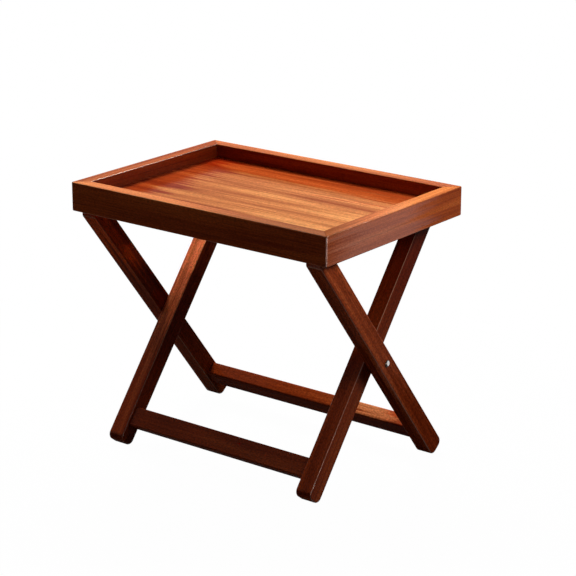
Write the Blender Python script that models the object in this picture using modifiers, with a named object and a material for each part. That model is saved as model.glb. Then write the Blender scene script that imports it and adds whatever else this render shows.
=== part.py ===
"""Folding bed table: a rimmed tray hinged on two crossed leg frames.

Metres, +Z up. The origin is on the floor under the middle of the tray, +X runs along the tray
and -Y is its front. The inner frame stands still, the outer frame turns on the pivot bolts and
the tray tips up on the hinges along its rear rail.
"""

import math

import bmesh
import bpy

# Tray
TRAY_LENGTH = 0.600
TRAY_WIDTH = 0.424
TABLE_HEIGHT = 0.526
RIM_HEIGHT = 0.056
RAIL_THICKNESS = 0.027
TRAY_DEPTH = 0.027
PANEL_THICKNESS = 0.008
CLEAT_WIDTH = 0.012
CLEAT_HEIGHT = 0.010
KEY_SIDE = 0.016
KEY_THICKNESS = 0.004
RAIL_ARRIS = 0.002
TRAY_CORNER_RADIUS = 0.003

# Legs and stretchers
LEG_WIDTH = 0.0345
LEG_DEPTH = 0.038
LEG_ARRIS = 0.003
FOOT_ROUNDING = 0.013
FOOT_FLAT = 0.0007
PIVOT_HEIGHT = 0.2305
OUTER_LEG_INSET = 0.0175
LEG_SPACING = 0.0012
LEG_SETBACK = 0.010
PLUMB_FLAT = 0.0112
STRETCHER_HEIGHT = 0.0385
STRETCHER_THICKNESS = 0.028
FRONT_STRETCHER_DROP = 0.2305
REAR_STRETCHER_DROP = 0.2239
DOWEL_RADIUS = 0.004
DOWEL_REACH = 0.018
DOWEL_SPACING = 0.018

# Pivot hardware
BOLT_HEAD_RADIUS = 0.0065
BOLT_HEAD_HEIGHT = 0.003
BOLT_SHOULDER_RADIUS = 0.004
BOLT_THREAD_RADIUS = 0.003
BOLT_THREAD_LENGTH = 0.018
INSERT_RADIUS = 0.006
INSERT_LENGTH = 0.022
WASHER_RADIUS = 0.009

# Hinge hardware
HINGE_LENGTH = 0.030
HINGE_AXIS_INSET = 0.0044
KNUCKLE_RADIUS = 0.0025
KNUCKLE_LENGTH = 0.010
LEAF_WIDTH = 0.017
LEAF_THICKNESS = 0.0012
PIN_RADIUS = 0.0012
SCREW_HEAD_RADIUS = 0.0026
SCREW_SHANK_RADIUS = 0.0013
SCREW_LENGTH = 0.012
SCREW_SPACING = 0.018
SCREW_SETBACK = 0.010

# Clearances
JOINT_GAP = 0.0003
BORE_GAP = 0.00012
SEAT_GAP = 0.0005
TONGUE_GAP = 0.0005
TONGUE_HEADROOM = 0.0015
LEAF_GAP = 0.0004

# Facets
ROUND_STEPS = 32
SMALL_STEPS = 20
ARRIS_STEPS = 3
FOOT_STEPS = 6
ARC_STEPS = 4
SHARP_EDGE = 45

# Places that follow from the sizes
RIM_BOTTOM = TABLE_HEIGHT - RIM_HEIGHT
PANEL_TOP = TABLE_HEIGHT - TRAY_DEPTH
PANEL_BOTTOM = PANEL_TOP - PANEL_THICKNESS
CLEAT_TOP = PANEL_BOTTOM - JOINT_GAP
CLEAT_BOTTOM = CLEAT_TOP - CLEAT_HEIGHT
LEG_TOP = RIM_BOTTOM - SEAT_GAP
TONGUE_TOP = CLEAT_BOTTOM - TONGUE_HEADROOM
PLUMB_FACE = TRAY_WIDTH / 2 - LEG_SETBACK
OUTER_LEG_X = TRAY_LENGTH / 2 - OUTER_LEG_INSET - LEG_WIDTH / 2
INNER_LEG_X = OUTER_LEG_X - LEG_WIDTH - LEG_SPACING
HINGE_Y = TRAY_WIDTH / 2 - HINGE_AXIS_INSET
HINGE_Z = RIM_BOTTOM - SEAT_GAP / 2
SIDES = {"left": -1, "right": 1}


def leg_lean():
    """The lean at which a leg's sloping face meets its plumb face at the height the sizes ask for."""
    rise = RIM_BOTTOM - PLUMB_FLAT - PIVOT_HEIGHT
    reach = math.hypot(rise, PLUMB_FACE)
    return math.acos(LEG_DEPTH / 2 / reach) - math.atan2(rise, PLUMB_FACE)


LEAN = leg_lean()


def leg_below_pivot():
    """Length from the pivot to the square end, so that the rounded foot's low side is cut flat on the floor."""
    rounding = FOOT_ROUNDING * (math.cos(LEAN) + math.sin(LEAN) - 1)
    drop = PIVOT_HEIGHT + FOOT_FLAT + rounding - LEG_DEPTH / 2 * math.sin(LEAN)
    return drop / math.cos(LEAN)


LEG_BELOW_PIVOT = leg_below_pivot()
LEG_ABOVE_PIVOT = (TABLE_HEIGHT - PIVOT_HEIGHT) / math.cos(LEAN) + LEG_DEPTH

# Colours (linear), roughness and metallic of the finishes
FINISHES = {
    "rim": ((0.20, 0.045, 0.012), 0.30, 0.0),
    "panel": ((0.42, 0.13, 0.035), 0.25, 0.0),
    "leg": ((0.14, 0.030, 0.009), 0.32, 0.0),
    "plain_wood": ((0.45, 0.25, 0.12), 0.65, 0.0),
    "steel": ((0.72, 0.72, 0.72), 0.18, 1.0),
    "brass": ((0.62, 0.43, 0.16), 0.30, 1.0),
}


def clear_scene():
    for obj in list(bpy.data.objects):
        bpy.data.objects.remove(obj, do_unlink=True)


def new_collection(name):
    collection = bpy.data.collections.new(name)
    bpy.context.scene.collection.children.link(collection)
    return collection


clear_scene()
PARTS = new_collection("folding_bed_table")
CUTTERS = new_collection("cutters")


def new_empty(name, parent=None, location=(0, 0, 0), tilt=0.0):
    empty = bpy.data.objects.new(name, None)
    PARTS.objects.link(empty)
    empty.parent = parent
    empty.location = location
    empty.rotation_euler = (tilt, 0, 0)
    return empty


INNER_FRAME = new_empty("inner_frame_axis", location=(0, 0, PIVOT_HEIGHT), tilt=-LEAN)
OUTER_FRAME = new_empty("outer_frame_axis", location=(0, 0, PIVOT_HEIGHT), tilt=LEAN)
TRAY_HINGE = new_empty("tray_hinge_axis", location=(0, HINGE_Y, HINGE_Z))
TRAY = new_empty("tray_centre", parent=TRAY_HINGE, location=(0, -HINGE_Y, -HINGE_Z))


def to_mesh(bm, name="shape"):
    mesh = bpy.data.meshes.new(name)
    bm.to_mesh(mesh)
    bm.free()
    return mesh


def block(size):
    """A box of the given size about its own middle."""
    bm = bmesh.new()
    bmesh.ops.create_cube(bm, size=1.0)
    bmesh.ops.scale(bm, vec=size, verts=bm.verts)
    return to_mesh(bm)


def rod(radius, length, steps=ROUND_STEPS):
    """A cylinder about its own middle, along Z."""
    bm = bmesh.new()
    bmesh.ops.create_cone(
        bm, cap_ends=True, segments=steps, radius1=radius, radius2=radius, depth=length
    )
    return to_mesh(bm)


def profile(points, ring=False):
    """A line of (radius, height) points for a Screw modifier, run down its outer side."""
    bm = bmesh.new()
    verts = [bm.verts.new((radius, 0, height)) for radius, height in points]
    for first, second in zip(verts, verts[1:]):
        bm.edges.new((first, second))
    if ring:
        bm.edges.new((verts[-1], verts[0]))
    return to_mesh(bm)


def outline(points, height):
    """A flat outline in XY, extruded to the given height about its own middle."""
    curve = bpy.data.curves.new("outline", "CURVE")
    curve.dimensions = "2D"
    curve.fill_mode = "BOTH"
    curve.extrude = height / 2
    spline = curve.splines.new("POLY")
    spline.points.add(len(points) - 1)
    for spot, (x, y) in zip(spline.points, points):
        spot.co = (x, y, 0, 1)
    spline.use_cyclic_u = True
    guide = bpy.data.objects.new("outline", curve)
    CUTTERS.objects.link(guide)
    graph = bpy.context.evaluated_depsgraph_get()
    mesh = bpy.data.meshes.new_from_object(guide.evaluated_get(graph))
    bpy.data.objects.remove(guide)
    bpy.data.curves.remove(curve)
    bm = bmesh.new()
    bm.from_mesh(mesh)
    bpy.data.meshes.remove(mesh)
    bmesh.ops.remove_doubles(bm, verts=bm.verts, dist=1e-6)
    bmesh.ops.dissolve_limit(bm, angle_limit=math.radians(0.5), verts=bm.verts, edges=bm.edges)
    bmesh.ops.recalc_face_normals(bm, faces=bm.faces)
    return to_mesh(bm)


def finish_material(name, finish):
    colour, roughness, metallic = FINISHES[finish]
    material = bpy.data.materials.new(name)
    material.use_nodes = True
    shader = material.node_tree.nodes["Principled BSDF"]
    shader.inputs["Base Color"].default_value = (*colour, 1)
    shader.inputs["Roughness"].default_value = roughness
    shader.inputs["Metallic"].default_value = metallic
    material.diffuse_color = (*colour, 1)
    return material


def place(obj, parent, location, rotation):
    obj.parent = parent
    obj.location = location
    obj.rotation_euler = rotation


def add_part(name, mesh, finish, parent, location=(0, 0, 0), rotation=(0, 0, 0)):
    mesh.name = name
    mesh.materials.append(finish_material(name, finish))
    part = bpy.data.objects.new(name, mesh)
    PARTS.objects.link(part)
    place(part, parent, location, rotation)
    return part


def turn(obj, steps):
    """Spins a profile round its own Z axis."""
    screw = obj.modifiers.new("turn", "SCREW")
    screw.axis = "Z"
    screw.angle = math.tau
    screw.steps = steps
    screw.render_steps = steps
    screw.use_merge_vertices = True
    screw.merge_threshold = 0.00001
    return obj


def shape_with(part, mesh, parent, location, rotation=(0, 0, 0), operation="DIFFERENCE"):
    """Cuts a part with a mesh, or joins the mesh on, by a Boolean that stays live."""
    tool = bpy.data.objects.new(f"{part.name}_tool_{len(part.modifiers)}", mesh)
    CUTTERS.objects.link(tool)
    place(tool, parent, location, rotation)
    tool.hide_render = True
    tool.display_type = "WIRE"
    boolean = part.modifiers.new(tool.name, "BOOLEAN")
    boolean.operation = operation
    boolean.object = tool
    return tool


def drill(part, hole, parent, location, rotation):
    """Cuts a round hole in wood with the solver that leaves a closed solid wherever the facets fall."""
    shape_with(part, hole, parent, location, rotation)
    part.modifiers[-1].solver = "MANIFOLD"


def cut_box(part, low, high, parent=None):
    """Removes the box between two corners, given in the parent's frame."""
    size = [b - a for a, b in zip(low, high)]
    middle = [(a + b) / 2 for a, b in zip(low, high)]
    shape_with(part, block(size), parent, middle)


def round_edges(part, width, weight_of, steps):
    """Rounds a part's edges with a Bevel, each by its own share of the width."""
    bm = bmesh.new()
    bm.from_mesh(part.data)
    weights = bm.edges.layers.float.new("bevel_weight_edge")
    for edge in bm.edges:
        edge[weights] = weight_of(edge)
    bm.to_mesh(part.data)
    bm.free()
    bevel = part.modifiers.new("round_edges", "BEVEL")
    bevel.limit_method = "WEIGHT"
    bevel.width = width
    bevel.segments = steps
    bevel.use_clamp_overlap = False


def ease_edges(part, width, steps):
    """Rounds every edge that is still sharp by the same small width."""
    bevel = part.modifiers.new("ease_edges", "BEVEL")
    bevel.limit_method = "ANGLE"
    bevel.angle_limit = math.radians(SHARP_EDGE)
    bevel.width = width
    bevel.segments = steps
    bevel.use_clamp_overlap = False


def along(edge, axis):
    """Whether an edge runs along the given axis of its own mesh."""
    first, second = (vert.co for vert in edge.verts)
    return abs((second - first).normalized()[axis]) > 0.999


# Tray


def rail_points(length):
    """Plan of a mitred rail: outer face on y = 0, with its two outer corners rounded."""
    half = length / 2 - JOINT_GAP
    radius = TRAY_CORNER_RADIUS
    arc = []
    for step in range(ARC_STEPS + 1):
        angle = math.radians(-90 + 45 * step / ARC_STEPS)
        arc.append((half - radius + radius * math.cos(angle), radius + radius * math.sin(angle)))
    inner = half - RAIL_THICKNESS
    right = arc + [(inner, RAIL_THICKNESS)]
    left = [(-x, y) for x, y in reversed(right)]
    return right + left


def rail_arris(edge):
    """1 on the edges that run along a rail's outer and inner faces, 0 on its mitres."""
    first, second = (vert.co for vert in edge.verts)
    level = abs(first.z - second.z) < 1e-6
    outer = max(first.y, second.y) < TRAY_CORNER_RADIUS + 1e-6
    inner = min(first.y, second.y) > RAIL_THICKNESS - 1e-6
    return 1.0 if level and (outer or inner) else 0.0


def add_rails():
    layout = {
        "front": (TRAY_LENGTH, TRAY_WIDTH, 0),
        "right": (TRAY_WIDTH, TRAY_LENGTH, 90),
        "rear": (TRAY_LENGTH, TRAY_WIDTH, 180),
        "left": (TRAY_WIDTH, TRAY_LENGTH, 270),
    }
    rails = {}
    for side, (length, across, turned) in layout.items():
        angle = math.radians(turned)
        outward = (math.sin(angle) * across / 2, -math.cos(angle) * across / 2)
        rail = add_part(
            f"{side}_rail",
            outline(rail_points(length), RIM_HEIGHT),
            "rim",
            TRAY,
            location=(*outward, RIM_BOTTOM + RIM_HEIGHT / 2),
            rotation=(0, 0, angle),
        )
        round_edges(rail, RAIL_ARRIS, rail_arris, ARRIS_STEPS)
        rails[side] = rail
    return rails


def add_corner_keys(rails):
    """Loose splines that lock each mitre, let into slots in both of its rails."""
    slot = [KEY_SIDE + 2 * JOINT_GAP, KEY_SIDE + 2 * JOINT_GAP, KEY_THICKNESS + 2 * JOINT_GAP]
    for depth, along_y in (("front", -1), ("rear", 1)):
        for side, along_x in SIDES.items():
            spot = (
                along_x * (TRAY_LENGTH / 2 - RAIL_THICKNESS / 2),
                along_y * (TRAY_WIDTH / 2 - RAIL_THICKNESS / 2),
                RIM_BOTTOM + RIM_HEIGHT / 2,
            )
            turned = (0, 0, math.radians(45))
            size = (KEY_SIDE, KEY_SIDE, KEY_THICKNESS)
            add_part(f"corner_key_{depth}_{side}", block(size), "plain_wood", TRAY, spot, turned)
            for rail in (rails[depth], rails[side]):
                shape_with(rail, block(slot), TRAY, spot, turned)


def add_panel_and_cleats():
    inside_length = TRAY_LENGTH - 2 * RAIL_THICKNESS - 2 * JOINT_GAP
    inside_width = TRAY_WIDTH - 2 * RAIL_THICKNESS - 2 * JOINT_GAP
    panel = block((inside_length, inside_width, PANEL_THICKNESS))
    add_part("tray_panel", panel, "panel", TRAY, (0, 0, (PANEL_TOP + PANEL_BOTTOM) / 2))
    height = (CLEAT_TOP + CLEAT_BOTTOM) / 2
    long_cleat = (inside_length, CLEAT_WIDTH, CLEAT_HEIGHT)
    short_cleat = (CLEAT_WIDTH, inside_width - 2 * CLEAT_WIDTH - 2 * JOINT_GAP, CLEAT_HEIGHT)
    y = (inside_width - CLEAT_WIDTH) / 2
    x = (inside_length - CLEAT_WIDTH) / 2
    add_part("front_cleat", block(long_cleat), "plain_wood", TRAY, (0, -y, height))
    add_part("rear_cleat", block(long_cleat), "plain_wood", TRAY, (0, y, height))
    for side, sign in SIDES.items():
        add_part(f"{side}_cleat", block(short_cleat), "plain_wood", TRAY, (sign * x, 0, height))


# Leg frames


def foot_corner(edge):
    """1 on the two edges across a leg's lower end, at its front and back, and 0 on the others."""
    at_foot = all(vert.co.z < 0 for vert in edge.verts)
    return float(at_foot and along(edge, 0))


def add_leg(name, frame, x):
    """A leg with a rounded foot, cut flat on the floor, and eased arrises, still long at its top."""
    length = LEG_ABOVE_PIVOT + LEG_BELOW_PIVOT
    middle = (LEG_ABOVE_PIVOT - LEG_BELOW_PIVOT) / 2
    leg = add_part(name, block((LEG_WIDTH, LEG_DEPTH, length)), "leg", frame, (x, 0, middle))
    round_edges(leg, FOOT_ROUNDING, foot_corner, FOOT_STEPS)
    ease_edges(leg, LEG_ARRIS, ARRIS_STEPS)
    cut_box(leg, (x - LEG_WIDTH, -TRAY_WIDTH, -LEG_DEPTH), (x + LEG_WIDTH, TRAY_WIDTH, 0))
    return leg


def add_inner_legs():
    """Legs that lean back, cut level under the rear rail and plumb behind."""
    legs = {}
    for side, sign in SIDES.items():
        x = sign * INNER_LEG_X
        leg = add_leg(f"inner_leg_{side}", INNER_FRAME, x)
        low, high = x - LEG_WIDTH, x + LEG_WIDTH
        sky = TABLE_HEIGHT + 2 * LEG_DEPTH
        cut_box(leg, (low, 0, LEG_TOP), (high, TRAY_WIDTH, sky))
        cut_box(leg, (low, PLUMB_FACE, PIVOT_HEIGHT), (high, TRAY_WIDTH, sky))
        legs[side] = leg
    return legs


def add_outer_legs():
    """Legs that lean forward: a level shoulder under the rails, a tongue up inside them, a plumb front."""
    legs = {}
    for side, sign in SIDES.items():
        x = sign * OUTER_LEG_X
        leg = add_leg(f"outer_leg_{side}", OUTER_FRAME, x)
        low, high = x - LEG_WIDTH, x + LEG_WIDTH
        sky = TABLE_HEIGHT + 2 * LEG_DEPTH
        tongue_front = -(TRAY_WIDTH / 2 - RAIL_THICKNESS - TONGUE_GAP)
        tongue_side = sign * (TRAY_LENGTH / 2 - RAIL_THICKNESS - TONGUE_GAP)
        end_side = sign * TRAY_LENGTH
        inside = x - sign * LEG_WIDTH
        round_tongue = [
            (inside, -TRAY_WIDTH),
            (end_side, -TRAY_WIDTH),
            (end_side, 0),
            (tongue_side, 0),
            (tongue_side, tongue_front),
            (inside, tongue_front),
        ]
        shoulder = outline(round_tongue, sky - LEG_TOP)
        shape_with(leg, shoulder, None, (0, 0, (sky + LEG_TOP) / 2))
        cut_box(leg, (low, -TRAY_WIDTH, TONGUE_TOP), (high, 0, sky))
        cut_box(leg, (low, -TRAY_WIDTH, PIVOT_HEIGHT), (high, -PLUMB_FACE, sky))
        legs[side] = leg
    return legs


def add_stretcher(name, frame, legs, leg_x, drop):
    """A bar between a frame's two legs, dowelled into them."""
    length = 2 * (leg_x - LEG_WIDTH / 2 - JOINT_GAP)
    size = (length, STRETCHER_THICKNESS, STRETCHER_HEIGHT)
    bar = add_part(name, block(size), "leg", frame, (0, 0, -drop))
    round_edges(bar, LEG_ARRIS, lambda edge: float(along(edge, 0)), ARRIS_STEPS)
    sideways = (0, math.radians(90), 0)
    for side, sign in SIDES.items():
        for level, offset in (("upper", DOWEL_SPACING / 2), ("lower", -DOWEL_SPACING / 2)):
            spot = (sign * (leg_x - LEG_WIDTH / 2), 0, -drop + offset)
            peg = rod(DOWEL_RADIUS, 2 * DOWEL_REACH, SMALL_STEPS)
            add_part(f"{name}_dowel_{side}_{level}", peg, "plain_wood", frame, spot, sideways)
            for wood in (bar, legs[side]):
                hole = rod(DOWEL_RADIUS + JOINT_GAP, 2 * (DOWEL_REACH + JOINT_GAP), SMALL_STEPS)
                drill(wood, hole, frame, spot, sideways)


# Pivots


def bolt_profile():
    """Domed head, shoulder for the outer leg to turn on, then the threaded end; head up."""
    dome = []
    for step in range(ARC_STEPS * 2 + 1):
        angle = math.radians(90 * step / (ARC_STEPS * 2))
        dome.append((BOLT_HEAD_RADIUS * math.sin(angle), BOLT_HEAD_HEIGHT * math.cos(angle)))
    shoulder_end = -(JOINT_GAP + LEG_WIDTH + LEG_SPACING - BORE_GAP)
    thread_end = shoulder_end - BOLT_THREAD_LENGTH
    return dome + [
        (BOLT_SHOULDER_RADIUS, 0),
        (BOLT_SHOULDER_RADIUS, shoulder_end),
        (BOLT_THREAD_RADIUS, shoulder_end),
        (BOLT_THREAD_RADIUS, thread_end),
        (0, thread_end),
    ]


def ring_profile(outer, inner, top, bottom):
    return [(outer, top), (outer, bottom), (inner, bottom), (inner, top)]


def add_pivots(inner_legs, outer_legs):
    """A shoulder bolt each side: through the outer leg and a washer, into an insert in the inner leg."""
    washer = (LEG_SPACING / 2 - BORE_GAP, -LEG_SPACING / 2 + BORE_GAP)
    for side, sign in SIDES.items():
        outward = (0, sign * math.radians(90), 0)
        outer_face = sign * (OUTER_LEG_X + LEG_WIDTH / 2)
        between = sign * (OUTER_LEG_X - LEG_WIDTH / 2 - LEG_SPACING / 2)
        inner_face = sign * (INNER_LEG_X + LEG_WIDTH / 2)
        parts = (
            ("bolt", profile(bolt_profile()), outer_face + sign * JOINT_GAP),
            (
                "washer",
                profile(ring_profile(WASHER_RADIUS, BOLT_SHOULDER_RADIUS + BORE_GAP, *washer), True),
                between,
            ),
            (
                "insert",
                profile(
                    ring_profile(INSERT_RADIUS, BOLT_THREAD_RADIUS + BORE_GAP, 0, -INSERT_LENGTH),
                    True,
                ),
                inner_face,
            ),
        )
        for piece, mesh, x in parts:
            turn(add_part(f"pivot_{piece}_{side}", mesh, "steel", INNER_FRAME, (x, 0, 0), outward), ROUND_STEPS)
        through = rod(BOLT_SHOULDER_RADIUS + BORE_GAP, 2 * LEG_WIDTH)
        drill(outer_legs[side], through, OUTER_FRAME, (sign * OUTER_LEG_X, 0, 0), outward)
        pocket = rod(INSERT_RADIUS + BORE_GAP, 2 * (INSERT_LENGTH + JOINT_GAP))
        drill(inner_legs[side], pocket, INNER_FRAME, (inner_face, 0, 0), outward)


# Hinges


def screw_profile():
    """Countersunk wood screw, head up, with its head's top at height 0."""
    tip = SCREW_SHANK_RADIUS * 2
    return [
        (0, 0),
        (SCREW_HEAD_RADIUS, 0),
        (SCREW_SHANK_RADIUS, -LEAF_THICKNESS),
        (SCREW_SHANK_RADIUS, tip - SCREW_LENGTH),
        (0, -SCREW_LENGTH),
    ]


def countersink_profile():
    """The hole that a screw sits in, a clearance wider than the screw all round."""
    room = BORE_GAP * 2
    over = LEAF_THICKNESS
    slope = (SCREW_HEAD_RADIUS - SCREW_SHANK_RADIUS) / LEAF_THICKNESS
    return [
        (0, over),
        (SCREW_HEAD_RADIUS + room + slope * over, over),
        (SCREW_SHANK_RADIUS + room, -LEAF_THICKNESS),
        (SCREW_SHANK_RADIUS + room, -SCREW_LENGTH - JOINT_GAP),
        (0, -SCREW_LENGTH - JOINT_GAP),
    ]


def add_leaf(name, parent, x, up, knuckles):
    """A hinge leaf that lies flat, above (up = 1) or below (up = -1) the hinge's middle plane."""
    level = HINGE_Z + up * (LEAF_GAP + LEAF_THICKNESS) / 2
    clear = KNUCKLE_RADIUS + JOINT_GAP
    plate = block((HINGE_LENGTH, LEAF_WIDTH - clear, LEAF_THICKNESS))
    leaf = add_part(name, plate, "brass", parent, (x, HINGE_Y - (LEAF_WIDTH + clear) / 2, level))
    sideways = (0, math.radians(90), 0)
    for start, end in knuckles:
        middle = x + (start + end) / 2
        lug = block((end - start, 2 * clear, LEAF_THICKNESS))
        barrel = rod(KNUCKLE_RADIUS, end - start, SMALL_STEPS)
        shape_with(leaf, lug, None, (middle, HINGE_Y - clear, level), operation="UNION")
        shape_with(leaf, barrel, None, (middle, HINGE_Y, HINGE_Z), sideways, "UNION")
    bore = rod(PIN_RADIUS + BORE_GAP, 2 * HINGE_LENGTH, SMALL_STEPS)
    shape_with(leaf, bore, None, (x, HINGE_Y, HINGE_Z), sideways)
    return leaf


def add_leaf_screws(label, parent, x, up, leaf, wood):
    """Two screws through a leaf into the wood behind it."""
    face = HINGE_Z + up * LEAF_GAP / 2
    turned = (math.radians(180) if up > 0 else 0, 0, 0)
    for place_name, offset in (("a", -SCREW_SPACING / 2), ("b", SCREW_SPACING / 2)):
        spot = (x + offset, HINGE_Y - SCREW_SETBACK, face)
        screw = add_part(f"{label}_{place_name}", profile(screw_profile()), "brass", parent, spot, turned)
        turn(screw, SMALL_STEPS)
        for piece in (leaf, wood):
            turn(shape_with(piece, profile(countersink_profile()), None, spot, turned), SMALL_STEPS)


def add_hinges(rear_rail, inner_legs):
    """Two butt hinges, shut between the rear rail's underside and the inner legs' tops."""
    half = KNUCKLE_LENGTH / 2
    end = HINGE_LENGTH / 2
    for side, sign in SIDES.items():
        x = sign * INNER_LEG_X
        low, high = x - end - JOINT_GAP, x + end + JOINT_GAP
        front = HINGE_Y - LEAF_WIDTH - JOINT_GAP
        recess = LEAF_GAP / 2 + LEAF_THICKNESS + JOINT_GAP
        swing = KNUCKLE_RADIUS + JOINT_GAP
        cut_box(rear_rail, (low, front, HINGE_Z - recess), (high, HINGE_Y, HINGE_Z + recess))
        cut_box(rear_rail, (low, HINGE_Y - swing, HINGE_Z - swing), (high, TRAY_WIDTH, HINGE_Z + swing))
        cut_box(inner_legs[side], (low, front, HINGE_Z - recess), (high, TRAY_WIDTH, HINGE_Z + recess))
        outer_knuckles = ((-end, -half - BORE_GAP), (half + BORE_GAP, end))
        tray_leaf = add_leaf(f"hinge_tray_leaf_{side}", TRAY, x, 1, outer_knuckles)
        leg_leaf = add_leaf(f"hinge_leg_leaf_{side}", None, x, -1, ((-half, half),))
        sideways = (0, math.radians(90), 0)
        pin = rod(PIN_RADIUS, HINGE_LENGTH, SMALL_STEPS)
        add_part(f"hinge_pin_{side}", pin, "brass", None, (x, HINGE_Y, HINGE_Z), sideways)
        add_leaf_screws(f"tray_leaf_screw_{side}", TRAY, x, 1, tray_leaf, rear_rail)
        add_leaf_screws(f"leg_leaf_screw_{side}", None, x, -1, leg_leaf, inner_legs[side])


def shade_round(names):
    for part in PARTS.objects:
        if part.type == "MESH" and part.name.startswith(names):
            part.data.shade_smooth()
            part.data.set_sharp_from_angle(angle=math.radians(35))


def main():
    rails = add_rails()
    add_corner_keys(rails)
    add_panel_and_cleats()
    inner_legs = add_inner_legs()
    outer_legs = add_outer_legs()
    add_stretcher("front_stretcher", INNER_FRAME, inner_legs, INNER_LEG_X, FRONT_STRETCHER_DROP)
    add_stretcher("rear_stretcher", OUTER_FRAME, outer_legs, OUTER_LEG_X, REAR_STRETCHER_DROP)
    add_pivots(inner_legs, outer_legs)
    add_hinges(rails["rear"], inner_legs)
    shade_round(("pivot", "hinge_pin"))


main()
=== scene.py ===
# %% [markdown]
# # A folding bed table in varnished mahogany
#
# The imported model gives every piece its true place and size. This lesson makes what the eye meets: mitred
# rails with softened arrises, a veneered panel, square legs with rounded feet, the polished heads of the
# pivot bolts, and the varnish over it all. The hidden hardware keeps its modelled shape and only gets a
# finish. Each step could be done by hand in Blender; in code it can be repeated and measured.

# %% Load the frame
import math

import bmesh
import bpy
from mathutils import Matrix, Vector


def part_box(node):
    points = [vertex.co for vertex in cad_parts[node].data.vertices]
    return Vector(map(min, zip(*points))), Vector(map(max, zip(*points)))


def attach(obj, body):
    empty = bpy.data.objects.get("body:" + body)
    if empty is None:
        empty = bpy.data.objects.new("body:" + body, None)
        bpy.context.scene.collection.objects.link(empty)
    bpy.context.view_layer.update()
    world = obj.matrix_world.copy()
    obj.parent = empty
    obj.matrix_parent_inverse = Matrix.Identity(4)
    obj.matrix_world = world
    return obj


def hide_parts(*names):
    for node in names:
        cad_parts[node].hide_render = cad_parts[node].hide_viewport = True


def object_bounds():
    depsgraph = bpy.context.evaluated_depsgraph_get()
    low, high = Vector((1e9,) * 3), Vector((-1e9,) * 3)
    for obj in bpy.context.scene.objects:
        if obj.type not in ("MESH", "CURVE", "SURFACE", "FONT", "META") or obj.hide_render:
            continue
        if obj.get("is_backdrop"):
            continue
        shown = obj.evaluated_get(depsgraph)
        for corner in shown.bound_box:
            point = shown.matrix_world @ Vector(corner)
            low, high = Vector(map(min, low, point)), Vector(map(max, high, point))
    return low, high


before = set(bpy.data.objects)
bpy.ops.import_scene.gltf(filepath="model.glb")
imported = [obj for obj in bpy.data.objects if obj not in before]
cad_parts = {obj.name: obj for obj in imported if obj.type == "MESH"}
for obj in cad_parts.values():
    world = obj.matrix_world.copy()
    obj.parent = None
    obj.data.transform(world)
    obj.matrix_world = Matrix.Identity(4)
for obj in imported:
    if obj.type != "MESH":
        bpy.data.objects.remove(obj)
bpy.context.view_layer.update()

# %% [markdown]
# ## The camera
#
# The photograph looks down a little on the right front corner through a long lens. A camera could be
# placed by eye, but here its place and focal length were worked out from the edges of the tray and the
# legs, so that the lines run together just as they do there.

# %% Camera
EYE = Vector((2.2846, -2.8916, 1.5077))
AZIMUTH = math.radians(37.667)
ELEVATION = math.radians(17.849)
LENS_MM = 126.93
SENSOR_MM = 36.0

camera = bpy.data.objects.new("camera", bpy.data.cameras.new("camera"))
bpy.context.scene.collection.objects.link(camera)
camera.data.lens = LENS_MM
camera.data.sensor_width = SENSOR_MM
camera.location = EYE
looking = Vector(
    (
        -math.sin(AZIMUTH) * math.cos(ELEVATION),
        math.cos(AZIMUTH) * math.cos(ELEVATION),
        -math.sin(ELEVATION),
    )
)
camera.rotation_euler = looking.to_track_quat("-Z", "Y").to_euler()
bpy.context.scene.camera = camera
print("camera at", [round(value, 3) for value in EYE])

# %% [markdown]
# ## Sizes
#
# The same sizes as in the model, in metres. The lean of the legs isn't chosen but follows from them: each
# leg's sloping face has to meet its short plumb face a little below the rim.

# %% Sizes
TRAY_LENGTH = 0.600
TRAY_WIDTH = 0.424
TABLE_HEIGHT = 0.526
RIM_HEIGHT = 0.056
RAIL_THICKNESS = 0.027
RAIL_ARRIS = 0.002
TRAY_CORNER_RADIUS = 0.003
LEG_WIDTH = 0.0345
LEG_DEPTH = 0.038
LEG_ARRIS = 0.003
FOOT_ROUNDING = 0.013
FOOT_FLAT = 0.0007
PIVOT = Vector((0, 0, 0.2305))
OUTER_LEG_INSET = 0.0175
LEG_SPACING = 0.0012
LEG_SETBACK = 0.010
PLUMB_FLAT = 0.0112
JOINT_GAP = 0.0003
SEAT_GAP = 0.0005
BORE_GAP = 0.00012
SIDES = {"left": -1, "right": 1}

RIM_BOTTOM = TABLE_HEIGHT - RIM_HEIGHT
LEG_TOP = RIM_BOTTOM - SEAT_GAP
PLUMB_FACE = TRAY_WIDTH / 2 - LEG_SETBACK
OUTER_LEG_X = TRAY_LENGTH / 2 - OUTER_LEG_INSET - LEG_WIDTH / 2
INNER_LEG_X = OUTER_LEG_X - LEG_WIDTH - LEG_SPACING
rise = RIM_BOTTOM - PLUMB_FLAT - PIVOT.z
LEAN = math.acos(LEG_DEPTH / 2 / math.hypot(rise, PLUMB_FACE)) - math.atan2(rise, PLUMB_FACE)
rounding_drop = FOOT_ROUNDING * (math.cos(LEAN) + math.sin(LEAN) - 1)
foot_drop = PIVOT.z + FOOT_FLAT + rounding_drop - LEG_DEPTH / 2 * math.sin(LEAN)
LEG_BELOW_PIVOT = foot_drop / math.cos(LEAN)
LEG_ABOVE_PIVOT = (TABLE_HEIGHT - PIVOT.z) / math.cos(LEAN) + LEG_DEPTH
print("lean of the legs:", round(math.degrees(LEAN), 2), "degrees")


def leaning(lean):
    """The frame of a pair of legs: its Z axis runs up the leg, lean is 1 for backwards, -1 for forwards."""
    return Matrix.Translation(PIVOT) @ Matrix.Rotation(-lean * LEAN, 4, "X")


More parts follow.
